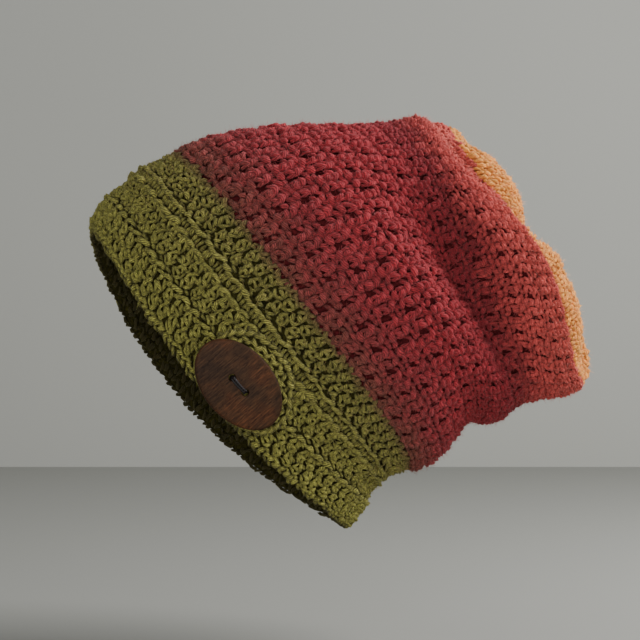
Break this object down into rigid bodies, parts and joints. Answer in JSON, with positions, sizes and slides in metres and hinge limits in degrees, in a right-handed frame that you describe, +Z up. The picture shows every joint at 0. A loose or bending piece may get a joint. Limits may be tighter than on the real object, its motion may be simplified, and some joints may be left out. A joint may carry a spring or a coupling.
{
  "type": "crocheted slouchy hat with a wooden button",
  "caption": "Crocheted slouchy hat in its worn shape, with a ribbed band, a sagging body, a gathered crown end and an oval wooden button on a tab.",
  "frame": {"origin": "middle of the opening for the head, where the hat sits on a head", "axes": "+Z up as worn, the wearer faces -Y, +X is the wearer's left side, which has the button"},
  "size_m": [0.1863, 0.3108, 0.2525],
  "materials": {
    "band_yarn": "crocheted olive-green wool-blend yarn, matt",
    "body_yarn": "crocheted burgundy-red wool-blend yarn, matt",
    "crown_yarn": "crocheted orange wool-blend yarn, matt",
    "button_wood": "satin-oiled walnut",
    "sewing_thread": "dark waxed thread"
  },
  "bodies": {
    "root": {"band": "band_yarn", "body": "body_yarn", "crown": "crown_yarn", "button_tab": "band_yarn", "button": "button_wood", "button_thread": "sewing_thread"}
  },
  "joints": []
}
